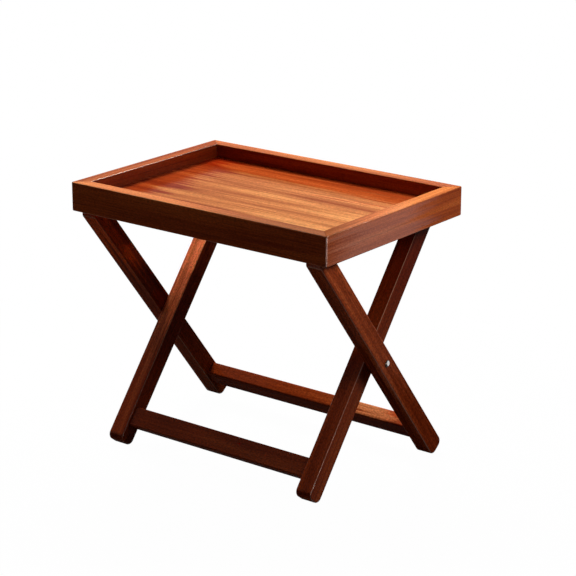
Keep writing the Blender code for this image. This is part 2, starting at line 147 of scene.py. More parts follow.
# %% [markdown]
# ## Tools for cutting wood
#
# A joiner starts from a bar, saws it to shape, rounds its arrises and chisels the housings. The helpers
# do the same. A bar is a bmesh cube; a saw cut is bisect_plane with its opening closed again; arrises are
# rounded by a Bevel modifier, because it can take only the edges that carry a weight and can mark the
# strips that it makes; and housings are cut with a Boolean modifier, because it leaves the rest of the face
# alone. Modifiers are settled into the mesh, so that every piece ends as a plain mesh at the origin.

# %% Bars, cuts and pieces
ARRIS_STEPS = 4
HOLE_STEPS = 24


def bar(low, high):
    """A bmesh box between two corners."""
    shape = bmesh.new()
    bmesh.ops.create_cube(shape, size=1.0)
    low, high = Vector(low), Vector(high)
    bmesh.ops.scale(shape, vec=high - low, verts=shape.verts)
    bmesh.ops.translate(shape, vec=(low + high) / 2, verts=shape.verts)
    return shape


def drill(radius, middle, length, steps=HOLE_STEPS):
    """A bmesh cylinder along X, to cut a round hole with."""
    shape = bmesh.new()
    bmesh.ops.create_cone(
        shape, cap_ends=True, segments=steps, radius1=radius, radius2=radius, depth=length
    )
    turn = Matrix.Rotation(math.radians(90), 4, "Y")
    bmesh.ops.transform(shape, matrix=Matrix.Translation(middle) @ turn, verts=shape.verts)
    return shape


def moved(shape, matrix):
    """Moves a bmesh and hands it back."""
    bmesh.ops.transform(shape, matrix=matrix, verts=shape.verts)
    return shape


def saw(shape, point, normal):
    """Cuts away what lies beyond a plane, on the side that its normal points to, and closes the cut."""
    everything = shape.verts[:] + shape.edges[:] + shape.faces[:]
    cut = bmesh.ops.bisect_plane(
        shape, geom=everything, dist=1e-7, plane_co=point, plane_no=normal, clear_outer=True
    )
    opening = [item for item in cut["geom_cut"] if isinstance(item, bmesh.types.BMEdge)]
    bmesh.ops.edgeloop_fill(shape, edges=opening)


def weigh_edges(shape, weight_of):
    """Gives each edge its share of the rounding."""
    layer = shape.edges.layers.float.new("bevel_weight_edge")
    for edge in shape.edges:
        edge[layer] = weight_of(edge)


def new_piece(name, shape):
    """Turns a bmesh into an object at the origin."""
    bmesh.ops.recalc_face_normals(shape, faces=shape.faces)
    mesh = bpy.data.meshes.new(name)
    shape.to_mesh(mesh)
    shape.free()
    piece = bpy.data.objects.new(name, mesh)
    bpy.context.scene.collection.objects.link(piece)
    return piece


def settle(piece):
    """Makes the modifiers' result the piece's own mesh."""
    graph = bpy.context.evaluated_depsgraph_get()
    settled = bpy.data.meshes.new_from_object(piece.evaluated_get(graph))
    settled.name = piece.name
    piece.modifiers.clear()
    piece.data = settled


print("tools ready")

# %% [markdown]
# Hands and cloths wear the varnish thin along the arrises, and the finish paints the wood there paler,
# partly for wear and partly as a painted highlight, so it has to know where they are. The Bevel modifier
# can give its strips a material number of their own. That number picks out the points that lie wholly
# inside a strip, and an attribute called arris notes them: 1 along the ridge, a half beside it. Three more
# say, face by face, how thick the varnish lies, where painted shade darkens the wood and which faces take
# painted light and shade.

# %% Arrises, housings and polish
SHARP_ANGLE = math.radians(45)
SMOOTH_ANGLE = math.radians(35)


def soften(piece, width, steps=ARRIS_STEPS, edges="WEIGHT"):
    """Rounds the weighted edges, or with ANGLE all the sharp ones, and notes the rounded strips."""
    piece.data.materials.append(None)
    piece.data.materials.append(None)
    bevel = piece.modifiers.new("arrises", "BEVEL")
    bevel.limit_method = edges
    bevel.angle_limit = SHARP_ANGLE
    bevel.width = width
    bevel.segments = steps
    bevel.profile = 0.5
    bevel.use_clamp_overlap = False
    bevel.material = 1
    settle(piece)
    mesh = piece.data
    inside = [1.0] * len(mesh.vertices)
    for polygon in mesh.polygons:
        if polygon.material_index == 0:
            for index in polygon.vertices:
                inside[index] = 0.0
        polygon.material_index = 0
    beside = set()
    for edge in mesh.edges:
        for near, far in (edge.vertices, reversed(edge.vertices)):
            if inside[near] > inside[far]:
                beside.add(near)
    for index in beside:
        inside[index] = 0.5
    mesh.attributes.new("arris", "FLOAT", "POINT").data.foreach_set("value", inside)
    mesh.materials.clear()
    return piece


def chisel(piece, *cutters):
    """Cuts each bmesh out of the piece."""
    for shape in cutters:
        tool = new_piece("chisel", shape)
        cut = piece.modifiers.new("housing", "BOOLEAN")
        cut.operation = "DIFFERENCE"
        cut.solver = "EXACT"
        cut.object = tool
        settle(piece)
        bpy.data.objects.remove(tool, do_unlink=True)


def resaw(piece, *cuts):
    """Saws a finished piece along planes, each a point and a normal."""
    shape = bmesh.new()
    shape.from_mesh(piece.data)
    for point, normal in cuts:
        saw(shape, point, normal)
    shape.to_mesh(piece.data)
    shape.free()


def polish(piece, **amounts):
    """Notes varnish, painted shade and painted light on each face, from its normal, and shades broad faces
    flat.
    """
    mesh = piece.data
    for name, amount_of in amounts.items():
        values = [amount_of(polygon.normal) for polygon in mesh.polygons]
        mesh.attributes.new(name, "FLOAT", "FACE").data.foreach_set("value", values)
    mesh.shade_smooth()
    mesh.set_sharp_from_angle(angle=SMOOTH_ANGLE)
    flat = piece.modifiers.new("flat_faces", "WEIGHTED_NORMAL")
    flat.mode = "FACE_AREA"
    flat.weight = 100
    flat.keep_sharp = True


def dress(piece, node, body, material):
    """The piece stands for a CAD node, moves with its body and takes its finish."""
    piece.data.materials.clear()
    piece.data.materials.append(material)
    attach(piece, body)
    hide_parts(node)


print("steps to an arris:", ARRIS_STEPS)

# %% [markdown]
# ## Shader maths
#
# Wood is made of a few noise patterns, stretched along the grain, that are added, scaled and mixed.
# A web of Math nodes is hard to read, so one small class wraps a socket and lets plus, minus and times add
# those nodes. Every other node comes from one method.

# %% Shader helpers


class Field:
    """A socket on which Python's operators add Math nodes."""

    def __init__(self, recipe, socket):
        self.recipe = recipe
        self.socket = socket

    def math(self, operation, first, second):
        return self.recipe.node("ShaderNodeMath", {"operation": operation}, {0: first, 1: second})

    def __add__(self, other):
        return self.math("ADD", self, other)

    def __radd__(self, other):
        return self.math("ADD", other, self)

    def __sub__(self, other):
        return self.math("SUBTRACT", self, other)

    def __rsub__(self, other):
        return self.math("SUBTRACT", other, self)

    def __mul__(self, other):
        return self.math("MULTIPLY", self, other)

    def __rmul__(self, other):
        return self.math("MULTIPLY", other, self)


class Recipe:
    """A node tree, with one method that adds any node and a few short ones for what is used often."""

    def __init__(self, tree):
        self.tree = tree

    def node(self, kind, settings=None, sockets=None, out=0):
        """Adds a node, sets it up, feeds its sockets and returns one of its outputs."""
        made = self.tree.nodes.new(kind)
        for key, value in (settings or {}).items():
            if key == "stops":
                self.set_stops(made.color_ramp, value)
            else:
                setattr(made, key, value)
        for key, value in (sockets or {}).items():
            self.feed(made.inputs[key], value)
        return Field(self, made.outputs[out])

    def feed(self, socket, value):
        if isinstance(value, Field):
            self.tree.links.new(value.socket, socket)
        else:
            socket.default_value = value

    def set_stops(self, ramp, stops):
        """Sets a ramp's first and last stop and adds those between."""
        for element, (position, colour) in zip(ramp.elements, (stops[0], stops[-1])):
            element.position = position
            element.color = (*colour, 1)
        for position, colour in stops[1:-1]:
            ramp.elements.new(position).color = (*colour, 1)

    def noise(self, place, cells, detail=2.0, roughness=0.5, distortion=0.0):
        """Noise around 0.5, with its own number of cells to the metre along each axis."""
        spread = self.node("ShaderNodeVectorMath", {"operation": "MULTIPLY"}, {0: place, 1: cells})
        shape = {"Scale": 1.0, "Detail": detail, "Roughness": roughness, "Distortion": distortion}
        return self.node("ShaderNodeTexNoise", None, {"Vector": spread, **shape})

    def between(self, value, low, high):
        """0 below low, 1 above high and a smooth rise between them."""
        limits = {"From Min": low, "From Max": high}
        settings = {"interpolation_type": "SMOOTHSTEP"}
        return self.node("ShaderNodeMapRange", settings, {"Value": value, **limits})

    def mix(self, share, first, second, blend="MIX"):
        """A colour that goes from first to second as share goes from 0 to 1."""
        pair = [colour if isinstance(colour, Field) else (*colour, 1) for colour in (first, second)]
        settings = {"data_type": "RGBA", "blend_type": blend}
        return self.node("ShaderNodeMix", settings, {0: share, 6: pair[0], 7: pair[1]}, out=2)

    def noted(self, name):
        """An attribute of the mesh."""
        return self.node("ShaderNodeAttribute", {"attribute_name": name}, out="Fac")


def new_finish(name):
    """A new material and the recipe that fills it."""
    material = bpy.data.materials.new(name)
    material.use_nodes = True
    return material, Recipe(material.node_tree)


def fill_shader(recipe, **values):
    """Sets sockets of the Principled shader: underscores in a name stand for spaces."""
    shader = recipe.tree.nodes["Principled BSDF"]
    for key, value in values.items():
        recipe.feed(shader.inputs[key.replace("_", " ")], value)


print("shader helpers ready")

# %% [markdown]
# ## Varnished mahogany
#
# Ribbon-cut mahogany has soft stripes a finger wide, thin dark lines between them, and short open pores,
# all along the grain. The pattern's X axis is turned along each piece, so that the grain runs down every
# rail and leg, and each piece starts at another place in the pattern, as boards from one tree do. The
# varnish is a coat over the wood: thick where it was flooded on, thin on the faces that only got a wipe,
# and worn along the arrises, where the wood is painted paler, partly for wear and partly as a painted
# highlight. Soft borders along an axis also paint light and shade onto the wood.

# %% Wood
TONES = {
    "rim": ((0.36, 0.052, 0.009), (0.58, 0.108, 0.018), (0.72, 0.165, 0.030)),
    "panel": ((0.31, 0.056, 0.011), (0.53, 0.145, 0.031), (0.71, 0.245, 0.058)),
    "leg": ((0.15, 0.017, 0.002), (0.26, 0.034, 0.006), (0.37, 0.062, 0.012)),
    "plain": ((0.20, 0.024, 0.004), (0.27, 0.036, 0.006), (0.34, 0.052, 0.009)),
    "bare": ((0.30, 0.150, 0.070), (0.45, 0.250, 0.120), (0.55, 0.330, 0.170)),
}
# Pale wood along the arrises: partly wear, partly a painted highlight.
WORN_AND_HIGHLIT_WOOD = (0.85, 0.520, 0.330)
# A red painted shade, along the back and the left of the panel and at the right end of the rear stretcher.
RED_SHADE = (0.70, 0.33, 0.24)
# Painted shade, on the rim's insides, fronts, backs and left top and on the legs' faces that look straight
# to the front.
SHADE_TINT = (0.44, 0.30, 0.24)
LINE_TINT = (0.55, 0.42, 0.36)
BORDER_WANDER = 0.20
DULLING = 0.85


def wood(
    name,
    tones,
    turn=(0.0, 0.0, 0.0),
    shift=(0.0, 0.0, 0.0),
    gloss=0.25,
    ribbons=34.0,
    wear_and_highlight=0.5,
    arris_coat=0.25,
    speckle=0.9,
    painted_shading=(),
    shade_bands=(),
    dull=(),
):
    """Wood with its grain along the pattern's X axis, once the piece is turned by those angles.

    Painted shading paints light and shade onto the wood, paler or darker, and shade bands paint a redder
    shade; dull makes the varnish less glossy. Each is an axis of the object and the places on it where that
    begins and where it is full. A painted shading band starts with its colour, which is above 1 for painted
    light.
    """
    dark, middle, light = TONES[tones]
    material, recipe = new_finish(name)
    place = recipe.node("ShaderNodeTexCoord", out="Object")
    turned = {"Vector": place, "Location": shift, "Rotation": turn}
    grain = recipe.node("ShaderNodeMapping", None, turned)
    # Patterns along the grain, from broad ribbons to fine pores
    ribbon = recipe.noise(grain, (2.2, ribbons, ribbons), detail=2.0, distortion=0.3)
    streak = recipe.noise(grain, (4.5, 150.0, 150.0), detail=3.0, roughness=0.6)
    hair = recipe.noise(grain, (6.0, 480.0, 480.0), detail=2.0)
    drift = recipe.noise(grain, (1.5, 5.0, 5.0), detail=1.0)
    fleck = recipe.noise(grain, (70.0, 1500.0, 1500.0), detail=2.0)
    speck = recipe.noise(grain, (210.0, 430.0, 430.0), detail=1.0)

    def along(axis, begin, full):
        """A soft border across an axis, which wanders with the figure and so runs out in fingers."""
        way = recipe.node("ShaderNodeSeparateXYZ", None, {0: place}, out=axis)
        wandering = way + BORDER_WANDER * (streak - 0.5) + BORDER_WANDER * (ribbon - 0.5)
        return recipe.between(wandering, begin, full)

    # The figure gives the tone, and painted light and shade make some lengths of the piece paler, darker or
    # redder
    figure = ribbon * 0.42 + streak * 0.30 + hair * 0.16 + drift * 0.12
    stops = [(0.39, dark), (0.50, middle), (0.60, light)]
    colour = recipe.node("ShaderNodeValToRGB", {"stops": stops}, {0: figure})
    for shading_tone, *band in painted_shading:
        colour = recipe.mix(recipe.noted("tinted") * along(*band), colour, shading_tone, "MULTIPLY")
    for band in shade_bands:
        colour = recipe.mix(along(*band), colour, RED_SHADE, "MULTIPLY")
    # Dark lines, pores and specks, painted shade on whole faces, and paler wood along the arrises, partly
    # wear and partly a painted highlight
    line = recipe.between(streak, 0.55, 0.70)
    pore = recipe.between(fleck, 0.58, 0.70)
    colour = recipe.mix(line * 0.7 + pore * 0.3, colour, LINE_TINT, "MULTIPLY")
    colour = recipe.mix(1.0, colour, 1.0 + speckle * (speck - 0.5), "MULTIPLY")
    colour = recipe.mix(recipe.noted("dirt"), colour, SHADE_TINT, "MULTIPLY")
    arris = recipe.noted("arris")
    bared_and_highlit = recipe.between(arris, 0.55, 1.0) * recipe.between(drift + 0.5 * hair, 0.5, 1.0)
    colour = recipe.mix(wear_and_highlight * bared_and_highlit, colour, WORN_AND_HIGHLIT_WOOD)
    # Pores sink into the surface, and the varnish lies over it all
    height = hair * 0.4 - pore * 0.6
    relief = {"Strength": 0.2, "Distance": 0.0003, "Height": height}
    coat = recipe.noted("varnish")
    for band in dull:
        coat = coat * (1 - DULLING * along(*band))
    coat = (coat * (1 - arris) + arris_coat * arris) * (0.25 + 0.5 * ribbon + speck)
    fill_shader(
        recipe,
        Base_Color=colour,
        Roughness=0.42 + 0.12 * hair + 0.10 * pore,
        Specular_IOR_Level=0.0,
        Coat_Weight=coat,
        Coat_Roughness=gloss,
        Normal=recipe.node("ShaderNodeBump", None, relief),
    )
    return material


print("tones:", sorted(TONES))

# %% [markdown]
# ## The rim
#
# Four rails, mitred at 45 degrees. A rail could be swept along the rectangle in one go, but real rails are
# four sticks whose grain stops at the mitre. So each is cut from a bar: two saw cuts make the mitres and
# a few more, tangent to the corner's arc, round the tray's upright corners. Slots take the loose keys that
# lock the mitres, and the rear rail is let in for its two hinges.

# %% Rails
CORNER_FACETS = 3
KEY_SLOT = Vector((0.0166, 0.0166, 0.0046))
KEY_PLACE = Vector((TRAY_LENGTH - RAIL_THICKNESS, TRAY_WIDTH - RAIL_THICKNESS)) / 2
FRONT_REAR = {"front": -1, "rear": 1}


def rail_shape(length, across):
    """A mitred rail along X whose outer face looks to -Y."""
    half = length / 2 - JOINT_GAP
    outer = -across / 2
    shape = bar((-half, outer, RIM_BOTTOM), (half, outer + RAIL_THICKNESS, TABLE_HEIGHT))
    for end in SIDES.values():
        saw(shape, (end * half, outer, 0), (end, 1, 0))
        centre = Vector((end * (half - TRAY_CORNER_RADIUS), outer + TRAY_CORNER_RADIUS, 0))
        for facet in range(CORNER_FACETS):
            angle = math.radians(45 * (facet + 0.5) / CORNER_FACETS)
            normal = Vector((end * math.sin(angle), -math.cos(angle), 0))
            saw(shape, centre + normal * TRAY_CORNER_RADIUS, normal)
    return shape


def rail_weight(edge, outer):
    """Rounds the edges along a rail's outer and inner faces and leaves its mitres sharp."""
    first, second = (vert.co for vert in edge.verts)
    depths = sorted((first.y - outer, second.y - outer))
    on_a_face = depths[1] < TRAY_CORNER_RADIUS or depths[0] > RAIL_THICKNESS - 1e-5
    return float(abs(first.z - second.z) < 1e-6 and on_a_face)


def rail_varnish(normal):
    """Thick round the tray's upright corners and at its left and right, thin on top, wiped off elsewhere."""
    if min(abs(normal.x), abs(normal.y)) > 0.25 and abs(normal.z) < 0.3:
        return 1.0
    if normal.z > 0.7:
        return 0.22
    return 0.80 if abs(normal.x) > 0.7 else 0.04


def key_slot(along_x, along_y):
    """The slot for a corner key, in both rails of a mitre."""
    slot = bar(-KEY_SLOT / 2, KEY_SLOT / 2)
    middle = (along_x * KEY_PLACE.x, along_y * KEY_PLACE.y, RIM_BOTTOM + RIM_HEIGHT / 2)
    return moved(slot, Matrix.Translation(middle) @ Matrix.Rotation(math.radians(45), 4, "Z"))


rails = {}
for side, length, across, turned in (
    ("front", TRAY_LENGTH, TRAY_WIDTH, 0),
    ("right", TRAY_WIDTH, TRAY_LENGTH, 90),
    ("rear", TRAY_LENGTH, TRAY_WIDTH, 180),
    ("left", TRAY_WIDTH, TRAY_LENGTH, 270),
):
    shape = rail_shape(length, across)
    weigh_edges(shape, lambda edge: rail_weight(edge, -across / 2))
    angle = math.radians(turned)
    moved(shape, Matrix.Rotation(angle, 4, "Z"))
    rail = soften(new_piece(f"{side}_rim_rail", shape), RAIL_ARRIS)
    for end in (-1, 1):
        chisel(rail, key_slot(SIDES.get(side, end), FRONT_REAR.get(side, end)))
    rails[side] = rail, angle
    print(rail.name, len(rail.data.polygons), "faces")

# %% [markdown]
# The hinges' leaves lie in shallow housings under the rear rail and on the inner legs' tops, and their
# barrels need a notch along the rail's rear edge. Both are plain boxes, so the chisel cuts them out.

# %% Hinge housings
HINGE_AXIS_INSET = 0.0044
HINGE_Y = TRAY_WIDTH / 2 - HINGE_AXIS_INSET
HINGE_Z = RIM_BOTTOM - SEAT_GAP / 2
LEAF_HALF = 0.0153
LEAF_REACH = 0.0173
LEAF_FRONT = HINGE_Y - LEAF_REACH
LEAF_RECESS = 0.0017
BARREL_ROOM = 0.0028


def leaf_housing(x, back):
    """Room for a hinge's leaves, from their front edge to a line behind them."""
    return bar(
        (x - LEAF_HALF, LEAF_FRONT, HINGE_Z - LEAF_RECESS), (x + LEAF_HALF, back, HINGE_Z + LEAF_RECESS)
    )


def barrel_notch(x):
    """Room for a hinge's barrel, open to the rear."""
    return bar(
        (x - LEAF_HALF, HINGE_Y - BARREL_ROOM, HINGE_Z - BARREL_ROOM),
        (x + LEAF_HALF, TRAY_WIDTH, HINGE_Z + BARREL_ROOM),
    )


for sign in SIDES.values():
    chisel(rails["rear"][0], leaf_housing(sign * INNER_LEG_X, HINGE_Y), barrel_notch(sign * INNER_LEG_X))
print("rear rail with housings:", len(rails["rear"][0].data.polygons), "faces")

# %% [markdown]
# No rail has an even colour. On the tops, painted light makes some lengths paler and painted shade makes
# others darker; painted shade darkens the insides, the fronts and backs and the left top; and the varnish
# at the right is dull towards both its corners. This could be painted by hand, but a soft border across the
# rail takes only an axis and two places on it.

# %% The rails' finish
# Painted light that makes lengths of the rails' tops paler, and painted shade that makes others darker.
PAINTED_TOP_LIGHT = (1.35, 2.05, 3.10)
PAINTED_TOP_SHADE = (0.68, 0.92, 1.05)
RAIL_PAINTED_SHADING = {
    "front": ((PAINTED_TOP_LIGHT, "X", 0.25, -0.15), (PAINTED_TOP_SHADE, "X", -0.05, 0.25)),
    "right": ((PAINTED_TOP_LIGHT, "Y", -0.18, 0.04), (PAINTED_TOP_SHADE, "Y", -0.03, -0.20)),
    "rear": (((1.25, 1.90, 2.80), "X", 0.40, 0.00),),
    "left": (((1.08, 1.30, 1.25), "Y", -0.40, -0.30),),
}
RAIL_DULL = {"right": (("Y", 0.02, 0.13), ("Y", -0.10, -0.26))}
RAIL_ARRIS_COAT = {"front": 0.25, "right": 0.05, "rear": 0.25, "left": 0.6}
RAIL_RIBBONS = 60.0


def rail_painted_shade(normal, inwards, side):
    """Painted shade inside the rim, less on its front and back, and on top of the left rail."""
    if side == "left" and normal.z > 0.5:
        return 0.4
    facing = normal.dot(inwards)
    if facing > 0.7:
        return 1.0
    return 0.3 if facing < -0.7 and abs(normal.x) < 0.7 else 0.0


# Each rail takes painted shade inside the rim, on its front and back and on the left top, and painted light
# and shade on its tops.
for side, (rail, angle) in rails.items():
    inwards = Vector((-math.sin(angle), math.cos(angle), 0))
    polish(
        rail,
        varnish=rail_varnish,
        dirt=lambda normal: rail_painted_shade(normal, inwards, side),
        tinted=lambda normal: float(normal.z > 0.5),
    )
    finish = wood(
        f"{side}_rail_wood",
        "rim",
        turn=(0, 0, -angle),
        shift=(angle * 1.7, angle * 0.9, 0.3),
        ribbons=RAIL_RIBBONS,
        arris_coat=RAIL_ARRIS_COAT[side],
        painted_shading=RAIL_PAINTED_SHADING[side],
        dull=RAIL_DULL.get(side, ()),
    )
    dress(rail, f"{side}_rail", "tray", finish)
print("rails finished:", sorted(rails))

# %% [markdown]
# ## The panel
#
# One veneered sheet that fills the rim. Along the back and the left a red painted shade runs out along
# the grain in fingers, and towards the right painted light makes the wood paler. A crisp box would do for
# its shape; its upper edges are eased a little, so that a thin joint line shows against the rails.

# %% Panel
PANEL_EASE = 0.0004
EASE_STEPS = 2
# Painted light that makes the panel paler towards the right.
PANEL_PAINTED_LIGHT = (1.35, 1.65, 2.0)

low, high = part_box("tray_panel")
shape = bar(low, high)
middle = (low.z + high.z) / 2
weigh_edges(shape, lambda edge: float(min(vert.co.z for vert in edge.verts) > middle))
panel = soften(new_piece("panel_veneer", shape), PANEL_EASE, steps=EASE_STEPS)
polish(panel, varnish=lambda normal: 0.16 if normal.z > 0.7 else 0.1, tinted=lambda normal: 1.0)
finish = wood(
    "panel_wood",
    "panel",
    gloss=0.14,
    wear_and_highlight=0.0,
    painted_shading=((PANEL_PAINTED_LIGHT, "X", -0.28, 0.32),),
    shade_bands=(("Y", high.y - 0.092, high.y - 0.055), ("X", low.x + 0.110, low.x + 0.055)),
)
dress(panel, "tray_panel", "tray", finish)
print("panel", [round(value, 4) for value in high - low])

# %% [markdown]
# ## The legs
#
# Bars that lean across each other. Each is rounded at the foot, cut flat where it stands, level under the
# rim and plumb on the side it leans to. The outer legs keep a tongue that reaches up inside the
# rails and stops the legs from spreading; the inner legs carry the hinges. Rounding comes first and the
# saw cuts after it, as on a real leg, so that the cuts stay crisp.

# %% Legs
FOOT_STEPS = 10
STEEL_SHOULDER = 0.004
INSERT_RADIUS = 0.006
INSERT_LENGTH = 0.022
TONGUE_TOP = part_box("outer_leg_right")[1].z
TONGUE_FRONT = -(TRAY_WIDTH / 2 - RAIL_THICKNESS - SEAT_GAP)
TONGUE_SIDE = TRAY_LENGTH / 2 - RAIL_THICKNESS - SEAT_GAP


def at_foot(edge):
    """Whether an edge runs across the lower end of an upright bar, at its front or back."""
    first, second = (vert.co for vert in edge.verts)
    return max(first.z, second.z) < 0 and abs(first.x - second.x) > LEG_WIDTH / 2


def leg_bar(name, x, lean, top):
    """A leaning leg, rounded, and sawn level at the top, plumb in front or behind, and flat at the foot."""
    half = Vector((LEG_WIDTH, LEG_DEPTH, 0)) / 2
    shape = bar((x - half.x, -half.y, -LEG_BELOW_PIVOT), (x + half.x, half.y, LEG_ABOVE_PIVOT))
    bmesh.ops.bevel(
        shape,
        geom=[edge for edge in shape.edges if at_foot(edge)],
        offset=FOOT_ROUNDING,
        offset_type="OFFSET",
        segments=FOOT_STEPS,
        profile=0.5,
        affect="EDGES",
        material=-1,
    )
    leg = soften(new_piece(name, moved(shape, leaning(lean))), LEG_ARRIS, edges="ANGLE")
    resaw(
        leg,
        ((x, 0, top), (0, 0, 1)),
        ((x, lean * PLUMB_FACE, 0), (0, lean, 0)),
        ((x, 0, 0), (0, 0, -1)),
    )
    return leg


legs = {}
for side, sign in SIDES.items():
    x = sign * INNER_LEG_X
    leg = leg_bar(f"inner_{side}_leg", x, 1, LEG_TOP)
    face = PIVOT + Vector((x + sign * LEG_WIDTH / 2, 0, 0))
    pocket = drill(INSERT_RADIUS + BORE_GAP, face, 2 * (INSERT_LENGTH + JOINT_GAP))
    chisel(leg, leaf_housing(x, TRAY_WIDTH), pocket)
    legs["inner", side] = leg

    x = sign * OUTER_LEG_X
    leg = leg_bar(f"outer_{side}_leg", x, -1, TONGUE_TOP)
    ends = sorted((sign * TONGUE_SIDE, sign * TRAY_LENGTH))
    chisel(
        leg,
        bar((x - LEG_WIDTH, -TRAY_WIDTH, LEG_TOP), (x + LEG_WIDTH, TONGUE_FRONT, TABLE_HEIGHT)),
        bar((ends[0], -TRAY_WIDTH, LEG_TOP), (ends[1], 0, TABLE_HEIGHT)),
        drill(STEEL_SHOULDER + BORE_GAP, PIVOT + Vector((x, 0, 0)), 2 * LEG_WIDTH),
    )
    legs["outer", side] = leg
    print(side, "legs:", [len(legs[pair, side].data.polygons) for pair in ("inner", "outer")], "faces")

# %% [markdown]
# ## The stretchers
#
# One bar joins the inner legs near the front feet, one the outer legs near the rear feet. Each is turned
# with the lean of its legs and held by two dowels at each end, so the legs and the bars get their bores
# together.

# %% Stretchers
STRETCHER_THICKNESS = 0.028
STRETCHER_HEIGHT = 0.0385
FRONT_STRETCHER_DROP = 0.2305
REAR_STRETCHER_DROP = 0.2239
BORE_RADIUS = 0.0043
BORE_LENGTH = 0.0366
BORE_STEPS = 20
DOWEL_SPACING = 0.018

stretchers = {}
for pair, name, lean, drop, leg_x in (
    ("inner", "front_stretcher", 1, FRONT_STRETCHER_DROP, INNER_LEG_X),
    ("outer", "rear_stretcher", -1, REAR_STRETCHER_DROP, OUTER_LEG_X),
):
    reach = leg_x - LEG_WIDTH / 2
    size = Vector((reach - JOINT_GAP, STRETCHER_THICKNESS / 2, STRETCHER_HEIGHT / 2))
    centre = Vector((0, 0, -drop))
    shape = bar(centre - size, centre + size)
    weigh_edges(shape, lambda edge: float(abs(edge.verts[0].co.x - edge.verts[1].co.x) > reach))
    rod = soften(new_piece(f"{name}_bar", moved(shape, leaning(lean))), LEG_ARRIS)
    for side, sign in SIDES.items():
        for offset in (-DOWEL_SPACING / 2, DOWEL_SPACING / 2):
            spot = leaning(lean) @ Vector((sign * reach, 0, offset - drop))
            for bored in (rod, legs[pair, side]):
                chisel(bored, drill(BORE_RADIUS, spot, BORE_LENGTH, BORE_STEPS))
    stretchers[name] = rod, pair, lean
    print(rod.name, "spans", round(2 * size.x, 4))

# %% [markdown]
# The grain runs along every bar, so the pattern leans with it. Painted light makes the head of one leg,
# lengths of the others and one end of the rear stretcher paler; painted shade makes other lengths redder
# or darker, and darkens the legs' faces that look straight to the front. The same soft borders do it,
# this time along the bar.

# %% Finish of the legs and stretchers
# Painted light and shade along the legs: paler heads and lower lengths, and a painted shadow under the rim
# at the head of the right inner leg.
LEG_PAINTED_SHADING = {
    ("outer", "right"): (((1.9, 2.3, 3.0), "Z", 0.12, 0.24), ((1.6, 1.6, 1.8), "Z", 0.22, 0.06)),
    ("outer", "left"): (((2.4, 2.0, 1.5), "Z", 0.32, 0.44), ((1.4, 1.7, 1.6), "Z", 0.22, 0.06)),
    ("inner", "right"): (((1.6, 1.6, 1.4), "Z", 0.24, 0.06), ((0.65, 0.45, 0.40), "Z", 0.28, 0.38)),
    ("inner", "left"): (((3.2, 5.4, 10.5), "Z", 0.14, 0.32),),
}
LEG_DULL = {("outer", "right"): (("Z", 0.24, 0.12),)}
# Painted shade on the rear stretcher's top towards its left, and painted light towards its right end.
STRETCHER_PAINTED_SHADING = {
    "rear_stretcher": (
        ((0.80, 0.78, 0.80), "X", -0.02, -0.16),
        ((1.20, 1.40, 1.70), "X", -0.02, 0.08),
        ((2.25, 4.40, 7.60), "X", 0.10, 0.16),
    )
}
# A red painted shade at the right end of the rear stretcher.
STRETCHER_SHADE_BANDS = {"rear_stretcher": (("X", 0.20, 0.25),)}
STRETCHER_TONES = {"rear_stretcher": "plain", "front_stretcher": "leg"}
STRETCHER_VARNISH = 0.07
LEG_SIDE_VARNISH = {"left": 0.02, "right": 0.07}
LEG_ARRIS_COAT = {"left": 0.10, "right": 0.25}
# Painted shade on the legs' faces that look straight to the front.
PLUMB_SHADE = 0.6
BAR_RIBBONS = 70.0
BAR_SPECKLE = 1.6


def leg_varnish(normal, sides):
    """A thin wipe all over, an amount of its own on the sides, and more on faces that look up."""
    if abs(normal.x) > 0.7:
        return sides
    return 0.10 if normal.z > 0.4 else 0.02


for (pair, side), leg in legs.items():
    lean = 1 if pair == "inner" else -1
    front_only = (pair, side) == ("inner", "left")
    polish(
        leg,
        varnish=lambda normal: leg_varnish(normal, LEG_SIDE_VARNISH[side]),
        dirt=lambda normal: PLUMB_SHADE if normal.y < -0.95 else 0.0,
        tinted=lambda normal: float(normal.y < -0.5 or not front_only),
    )
    finish = wood(
        f"{pair}_{side}_leg_wood",
        "leg",
        turn=(lean * LEAN, math.radians(90), 0),
        shift=(SIDES[side] * 1.3, lean * 0.7, SIDES[side] * lean * 0.4),
        ribbons=BAR_RIBBONS,
        arris_coat=LEG_ARRIS_COAT[side],
        speckle=BAR_SPECKLE,
        painted_shading=LEG_PAINTED_SHADING[pair, side],
        dull=LEG_DULL.get((pair, side), ()),
    )
    dress(leg, f"{pair}_leg_{side}", f"{pair}_frame", finish)
for name, (rod, pair, lean) in stretchers.items():
    polish(
        rod,
        varnish=lambda normal: leg_varnish(normal, STRETCHER_VARNISH),
        tinted=lambda normal: float(normal.z > 0.2),
    )
    finish = wood(
        f"{name}_wood",
        STRETCHER_TONES[name],
        turn=(lean * LEAN, 0, 0),
        shift=(lean, 0.2, lean * 0.6),
        ribbons=BAR_RIBBONS,
        speckle=BAR_SPECKLE,
        painted_shading=STRETCHER_PAINTED_SHADING.get(name, ()),
        shade_bands=STRETCHER_SHADE_BANDS.get(name, ()),
    )
    dress(rod, name, f"{pair}_frame", finish)
print("legs and stretchers finished:", len(legs) + len(stretchers))

# %% [markdown]
# ## The pivot bolts
#
# A shoulder bolt at each crossing: a polished domed head outside, a smooth shoulder that the outer leg
# turns on, and a threaded end in the inner leg. Anything turned on a lathe is a profile spun about its
# axis, so the profile is drawn as a chain of edges and spun a full turn.

# %% Bolts
HEAD_RADIUS = 0.0065
HEAD_HEIGHT = 0.003
THREAD_RADIUS = 0.003
THREAD_LENGTH = 0.018
THREAD_CHAMFER = 0.001
SHOULDER_LENGTH = JOINT_GAP + LEG_WIDTH + LEG_SPACING - BORE_GAP
DOME_STEPS = 12
BOLT_STEPS = 48


